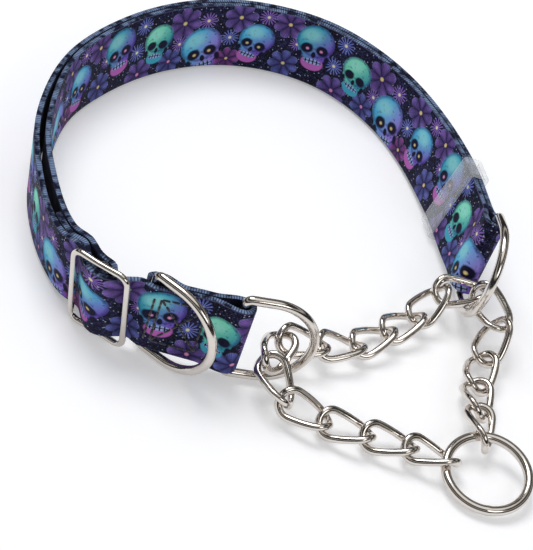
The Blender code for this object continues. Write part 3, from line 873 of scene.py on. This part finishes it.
# %% One twisted link
LINK_WIRE = 1.2 * MM
LINK_HALF = 8.15 * MM
LINK_SIDE = 4.3 * MM
LINK_TWIST = math.radians(-84.0)
SIDE_STEPS = 5
MIDDLE_REACH = 2.2 * MM

straight = LINK_HALF - LINK_SIDE
master = half_circle(LINK_SIDE, straight, 32)
pick(master, lambda co: abs(co.x - straight) < TINY)
for _ in range(SIDE_STEPS):
    extrude_by((-straight / SIDE_STEPS, 0.0, 0.0))
bpy.ops.mesh.select_all(action="SELECT")
bpy.ops.mesh.duplicate()
bpy.ops.transform.rotate(value=math.pi, orient_axis="Z", center_override=(0.0, 0.0, 0.0))
bpy.ops.mesh.select_all(action="SELECT")
bpy.ops.mesh.remove_doubles(threshold=TINY)
leave_edit()
master = outline_to_wire(master, LINK_WIRE)
link_reach = 2.0 * (LINK_HALF + LINK_WIRE)
apply_modifier(master, "SIMPLE_DEFORM", deform_method="TWIST", deform_axis="X",
               angle=LINK_TWIST * link_reach / (2.0 * LINK_HALF))
only(master)
bpy.ops.object.shade_smooth()
print("a link has", len(master.data.polygons), "faces")


# %% Copy it along the chain
def link_place(node):
    """Matrix of a packed link: its length, and its flat side at its middle."""
    spots = spots_of(node)
    middle = spots.mean(axis=0)
    along = np.linalg.svd(spots - middle, full_matrices=False)[2][0]
    reach = (spots - middle) @ along
    middle = middle + along * (reach.max() + reach.min()) / 2
    near = spots[np.abs(reach - (reach.max() + reach.min()) / 2) < MIDDLE_REACH] - middle
    near = near - np.outer(near @ along, along)
    across = np.linalg.svd(near, full_matrices=False)[2][0]
    return placed(along, across, middle)


links = sorted(n for n in frame["nodes"] if n.startswith("chain_link"))
for node in links:
    copy = master.copy()
    copy.data = master.data.copy()
    bpy.context.collection.objects.link(copy)
    lay(copy, link_place(node))
    finish_piece(copy, "curb_" + node[6:], node + "_body", "nickel", nickel, node)
bpy.data.objects.remove(master, do_unlink=True)
print(len(links), "links placed")

# %% [markdown]
# ## The slide
# A slide is a rounded frame of wire with a bar welded across its middle, set in
# towards the neck so that the webbing grips. The frame's outline starts as a
# plane with its face taken away; the bar is a short cylinder whose ends are
# extruded out to the frame.

# %% Slide frame and bar
SLIDE_WIDE = 29.2 * MM
SLIDE_CORNER = 3.2 * MM
SLIDE_FRAME_OUT = 1.55 * MM
SLIDE_NOTCH = 0.7 * MM
NOTCH_BEND = 2.6 * MM
BAR_SHORT = 1.2 * MM
BAR_RADIUS = SLIDE_WIRE * 0.98
BAR_RISE = (0.7 * MM, 0.5 * MM)
BAR_TIP = 0.5 * MM
BAR_TIP_BELOW = 0.6 * MM

bpy.ops.object.select_all(action="DESELECT")
bpy.ops.mesh.primitive_plane_add(size=1.0)
slide = bpy.context.object
bpy.ops.object.mode_set(mode="EDIT")
bpy.ops.mesh.select_all(action="SELECT")
bpy.ops.transform.resize(value=(SLIDE_LONG, SLIDE_WIDE, 1.0), center_override=(0.0, 0.0, 0.0))
bpy.ops.mesh.delete(type="ONLY_FACE")
bpy.ops.mesh.select_all(action="SELECT")
bpy.ops.mesh.subdivide(number_cuts=1)
leave_edit()
pick(slide, lambda co: abs(co.x) < TINY)
bpy.ops.transform.resize(value=(1.0, 1.0 - 2.0 * SLIDE_NOTCH / SLIDE_WIDE, 1.0),
                         center_override=(0.0, 0.0, 0.0))
bpy.ops.mesh.bevel(offset=NOTCH_BEND, segments=6, affect="VERTICES")
leave_edit()
corner_x = SLIDE_LONG / 2 - TINY
corner_y = SLIDE_WIDE / 2 - TINY
pick(slide, lambda co: abs(co.x) > corner_x and abs(co.y) > corner_y)
bpy.ops.mesh.bevel(offset=SLIDE_CORNER, segments=8, affect="VERTICES")
leave_edit()
slide = outline_to_wire(slide, SLIDE_WIRE)
only(slide)
bpy.ops.object.mode_set(mode="EDIT")
bpy.ops.mesh.select_all(action="SELECT")
bpy.ops.transform.translate(value=(0.0, 0.0, SLIDE_FRAME_OUT))
leave_edit()

bar_reach = SLIDE_WIDE / 2 - SLIDE_NOTCH
bpy.ops.object.select_all(action="DESELECT")
bpy.ops.mesh.primitive_cylinder_add(vertices=20, radius=BAR_RADIUS,
                                    depth=2.0 * (bar_reach - BAR_SHORT),
                                    location=(0.0, 0.0, SLIDE_BAR_OUT),
                                    rotation=(math.pi / 2, 0.0, 0.0))
bar = bpy.context.object
bpy.ops.object.transform_apply(location=True, rotation=True, scale=True)
for side in (-1, 1):
    pick(bar, lambda co: side * co.y > bar_reach - 1.3 * MM)
    extrude_by((0.0, side * BAR_RISE[0], BAR_RISE[1]))
    extrude_by((0.0, side * BAR_TIP, (SLIDE_FRAME_OUT - SLIDE_BAR_OUT) - BAR_TIP_BELOW))
    leave_edit()
bpy.ops.object.shade_smooth_by_angle(angle=math.radians(50.0))
bpy.ops.object.select_all(action="DESELECT")
slide.select_set(True)
bar.select_set(True)
bpy.context.view_layer.objects.active = slide
bpy.ops.object.join()
origin, along, out, up = collar.frame(SLIDE_AT)
slide_middle = origin + up * STRAP_WIDTH / 2
slide_place = placed(-along, up, slide_middle)
lay(slide, slide_place)
finish_piece(slide, "webbing_slide", "slide_body", "nickel", nickel, "slide_buckle")
print("slide turned outwards:", round(slide_place.col[2].to_3d().dot(out), 2))

# %% [markdown]
# ## The keeper
# The keeper is a short sleeve of clear plastic. A cube of its outer size has its
# two ends taken away and its long corners rounded; Solidify then makes the wall
# inwards, and a fine bevel softens the rims.

# %% Clear keeper
KEEPER_LONG = 9.0 * MM
KEEPER_WALL = 1.1 * MM
KEEPER_ROOM = 0.55 * MM
KEEPER_FROM_END = 31.0 * MM
KEEPER_CORNER = 1.4 * MM
KEEPER_RIM = 0.22 * MM

keeper_high = LAYER + STRAP_THICK + 2.0 * (KEEPER_ROOM + KEEPER_WALL)
keeper_wide = STRAP_WIDTH + 2.0 * (KEEPER_ROOM + KEEPER_WALL)
bpy.ops.object.select_all(action="DESELECT")
bpy.ops.mesh.primitive_cube_add(size=1.0)
keeper = bpy.context.object
bpy.ops.object.mode_set(mode="EDIT")
bpy.ops.mesh.select_all(action="SELECT")
bpy.ops.transform.resize(value=(KEEPER_LONG, keeper_high, keeper_wide),
                         center_override=(0.0, 0.0, 0.0))
bpy.ops.mesh.select_mode(type="FACE")
bpy.ops.mesh.select_all(action="DESELECT")
leave_edit()
for face in keeper.data.polygons:
    face.select = abs(face.normal.x) > 0.9
bpy.ops.object.mode_set(mode="EDIT")
bpy.ops.mesh.delete(type="ONLY_FACE")
bpy.ops.mesh.select_mode(type="EDGE")
bpy.ops.mesh.select_all(action="DESELECT")
leave_edit()
for edge in keeper.data.edges:
    ends = [keeper.data.vertices[i].co for i in edge.vertices]
    edge.select = abs(ends[0].x - ends[1].x) > 0.5 * KEEPER_LONG
bpy.ops.object.mode_set(mode="EDIT")
bpy.ops.mesh.bevel(offset=KEEPER_CORNER, segments=6)
leave_edit()
apply_modifier(keeper, "SOLIDIFY", thickness=KEEPER_WALL, offset=-1.0)
apply_modifier(keeper, "BEVEL", width=KEEPER_RIM, segments=2, limit_method="ANGLE",
               angle_limit=math.radians(50.0))
only(keeper)
bpy.ops.object.shade_smooth_by_angle(angle=math.radians(45.0))
keeper_at = collar.length - KEEPER_FROM_END
_, along, out, _ = collar.frame(keeper_at)
keeper_middle = collar.point(keeper_at, 0.0, 0.0)
lay(keeper, placed(along, out, keeper_middle))
finish_piece(keeper, "clear_keeper", "keeper_body", "clear_plastic", plastic, "keeper")

# %% [markdown]
# ## Sewing
# A box with a cross in it holds the folded end, and a bar tack holds the tail at
# the slide. One stitch is a small rounded bead; it is copied a stitch length
# apart along every line, each copy turned the way the line runs.

# %% One stitch, and lines of stitches
STITCH_LONG = 2.6 * MM
STITCH_THICK = 0.72 * MM
STITCH_SPARE = 0.15 * MM
STITCH_WAIST = 0.02 * MM

bpy.ops.object.select_all(action="DESELECT")
bpy.ops.mesh.primitive_uv_sphere_add(segments=8, ring_count=6, radius=STITCH_THICK / 2)
stitch = bpy.context.object
pick(stitch, lambda co: co.x > STITCH_WAIST)
bpy.ops.transform.translate(value=(STITCH_LONG / 2 - STITCH_THICK / 2 - STITCH_SPARE, 0.0, 0.0))
leave_edit()
pick(stitch, lambda co: co.x < -STITCH_WAIST)
bpy.ops.transform.translate(value=(-STITCH_LONG / 2 + STITCH_THICK / 2 + STITCH_SPARE, 0.0, 0.0))
leave_edit()
bpy.ops.object.shade_smooth()


def sew(name, lines, height, node):
    """Stitches along (length, up) lines at a height out of the collar."""
    made = []
    for start, end in lines:
        run = math.dist(start, end)
        count = max(1, int(round(run / STITCH_LONG)))
        for i in range(count):
            t = (i + 0.5) / count
            s = start[0] + (end[0] - start[0]) * t
            w = start[1] + (end[1] - start[1]) * t
            _, along, out, up = collar.frame(s)
            way = along * (end[0] - start[0]) + up * (end[1] - start[1])
            bead = stitch.copy()
            bead.data = stitch.data.copy()
            bpy.context.collection.objects.link(bead)
            bead.matrix_world = placed(way, out, collar.point(s, height, w))
            made.append(bead)
    bpy.ops.object.select_all(action="DESELECT")
    for bead in made:
        bead.select_set(True)
    bpy.context.view_layer.objects.active = made[0]
    bpy.ops.object.join()
    seam = bpy.context.object
    bpy.ops.object.transform_apply(location=True, rotation=True, scale=True)
    print(name, "has", len(made), "stitches")
    return finish_piece(seam, name, "strap", "thread", thread, node)


SECOND_ROW = 1.9 * MM
TACK_ROW = 1.7 * MM
TACK_LONG = 3.8 * MM
TACK_PAST = 0.4 * MM
TACK_INSET = 3.5 * MM
SEAM_PROUD = 0.12 * MM
TACK_PROUD = 0.30 * MM

half = 8.6 * MM
left = 10.0 * MM
right = 23.0 * MM
cross_lines = (
    ((left, -half), (left, half)),
    ((right, half), (right, -half)),
    ((left, -half), (right, -half)),
    ((left, half), (right, half)),
    ((left, -half), (right, half)),
    ((left, half), (right, -half)),
    ((right + SECOND_ROW, -half), (right + SECOND_ROW, half)),
)
proud = LAYER / 2 + STRAP_THICK / 2 + SEAM_PROUD
sew("cross_box_seam", cross_lines, proud, "box_stitching")
tack = TAIL_END - TACK_INSET
tack_lines = [((tack - TACK_ROW * k, -half), (tack - TACK_ROW * k, half)) for k in range(3)]
tack_lines += [((tack - TACK_LONG, half), (tack + TACK_PAST, half)),
               ((tack - TACK_LONG, -half), (tack + TACK_PAST, -half))]
sunk = -LAYER / 2 - LAYER - STRAP_THICK / 2 - TACK_PROUD
sew("tail_bar_tack", tack_lines, sunk, "slide_end_stitching")
bpy.data.objects.remove(stitch, do_unlink=True)

# %% [markdown]
# ## Floor, light and camera
# The collar lies on a seamless white sheet under one wide soft light, with a
# fill from the other side. The sheet shines a little by itself for the camera,
# for reflections and through the clear keeper, so that it reads as white and
# still holds the shadow. Behind it the camera sees white, reflections see a
# room of light and dark bands that gives the metal its contrast, and every
# other ray sees an even light grey.

# %% Floor
FLOOR_SIZE = 6.0
FLOOR_GLOW = 0.24
FLOOR_DROP = 0.05 * MM
SHEET = (0.86, 0.86, 0.87)

bpy.ops.object.select_all(action="DESELECT")
bpy.ops.mesh.primitive_plane_add(size=FLOOR_SIZE, location=(0.0, 0.0, -FLOOR_DROP))
floor = bpy.context.object
floor.name = "floor"
floor_finish, floor_tree, floor_shader = new_finish("white_sheet", SHEET, 0.9)
floor_shader.inputs["Specular IOR Level"].default_value = 0.0
rays = floor_tree.nodes.new("ShaderNodeLightPath")
seen = maths(floor_tree, "MAXIMUM", rays.outputs["Is Camera Ray"], rays.outputs["Is Glossy Ray"])
seen = maths(floor_tree, "MAXIMUM", seen, rays.outputs["Is Transmission Ray"])
floor_shader.inputs["Emission Color"].default_value = (1.0, 1.0, 1.0, 1.0)
put(floor_shader.inputs["Emission Strength"], maths(floor_tree, "MULTIPLY", seen, FLOOR_GLOW))
floor.data.materials.append(floor_finish)


# %% Soft light
KEY_PLACE = (-0.35, 0.25, 0.95)
KEY_SIZE = 0.6
KEY_POWER = 5.2
FILL_PLACE = (0.6, -0.7, 0.7)
FILL_SIZE = 0.5
FILL_POWER = 1.4
ROOM_GREY = (0.46, 0.465, 0.48)
ROOM_BANDS = (
    (0.50, 0.45),
    (0.52, 0.03),
    (0.68, 0.02),
    (0.75, 0.60),
    (0.82, 0.04),
    (0.93, 0.05),
    (0.96, 0.9),
)
WARM = (1.0, 0.97, 0.93)


def soft_light(name, place, size, power):
    """A round lamp that faces the collar's middle."""
    lamp = bpy.data.lights.new(name, "AREA")
    lamp.shape = "DISK"
    lamp.size = size
    lamp.energy = power
    holder = bpy.data.objects.new(name, lamp)
    bpy.context.collection.objects.link(holder)
    holder.location = place
    holder.rotation_euler = (-Vector(place)).to_track_quat("-Z", "Y").to_euler()


soft_light("key", KEY_PLACE, KEY_SIZE, KEY_POWER)
soft_light("fill", FILL_PLACE, FILL_SIZE, FILL_POWER)

world = bpy.data.worlds.new("studio")
world.use_nodes = True
bpy.context.scene.world = world
sky_tree = world.node_tree
background = sky_tree.nodes["Background"]
direction = sky_tree.nodes.new("ShaderNodeTexCoord").outputs["Generated"]
height = part(sky_tree, direction, 2)
paths = sky_tree.nodes.new("ShaderNodeLightPath")
bands = sky_tree.nodes.new("ShaderNodeValToRGB")
put(bands.inputs[0], maths(sky_tree, "MULTIPLY_ADD", height, 0.5, 0.5))
stops = bands.color_ramp.elements
stops[0].color = (0.9, 0.9, 0.9, 1.0)
stops[1].color = (1.0, 1.0, 1.0, 1.0)
for position, tone in ROOM_BANDS:
    stop = stops.new(position)
    stop.color = (tone * WARM[0], tone * WARM[1], tone * WARM[2], 1.0)
room = blend(sky_tree, paths.outputs["Is Glossy Ray"], ROOM_GREY, bands.outputs["Color"])
room = blend(sky_tree, paths.outputs["Is Camera Ray"], room, (1.0, 1.0, 1.0))
put(background.inputs["Color"], room)
background.inputs["Strength"].default_value = 1.0
bpy.context.scene.view_settings.view_transform = "Standard"

# %% Camera
CAMERA_HEIGHT = math.radians(41.0)
CAMERA_ROLL = math.radians(20.0)
CAMERA_AWAY = 0.70
CAMERA_LENS = 148.9
CAMERA_SENSOR = 36.0
CAMERA_NEAREST = 0.01

ahead = Vector((0.0, math.cos(CAMERA_HEIGHT), -math.sin(CAMERA_HEIGHT)))
level = Vector((1.0, 0.0, 0.0))
upright = Vector((0.0, math.sin(CAMERA_HEIGHT), math.cos(CAMERA_HEIGHT)))
camera_x = level * math.cos(CAMERA_ROLL) + upright * math.sin(CAMERA_ROLL)
camera_y = upright * math.cos(CAMERA_ROLL) - level * math.sin(CAMERA_ROLL)
camera = bpy.data.objects.new("camera", bpy.data.cameras.new("camera"))
bpy.context.collection.objects.link(camera)
turn = Matrix((camera_x, camera_y, -ahead)).transposed().to_4x4()
turn.translation = collar.offset - ahead * CAMERA_AWAY
camera.matrix_world = turn
camera.data.lens = CAMERA_LENS
camera.data.sensor_width = CAMERA_SENSOR
camera.data.clip_start = CAMERA_NEAREST
bpy.context.scene.camera = camera
print("camera at", [round(v, 3) for v in camera.location])
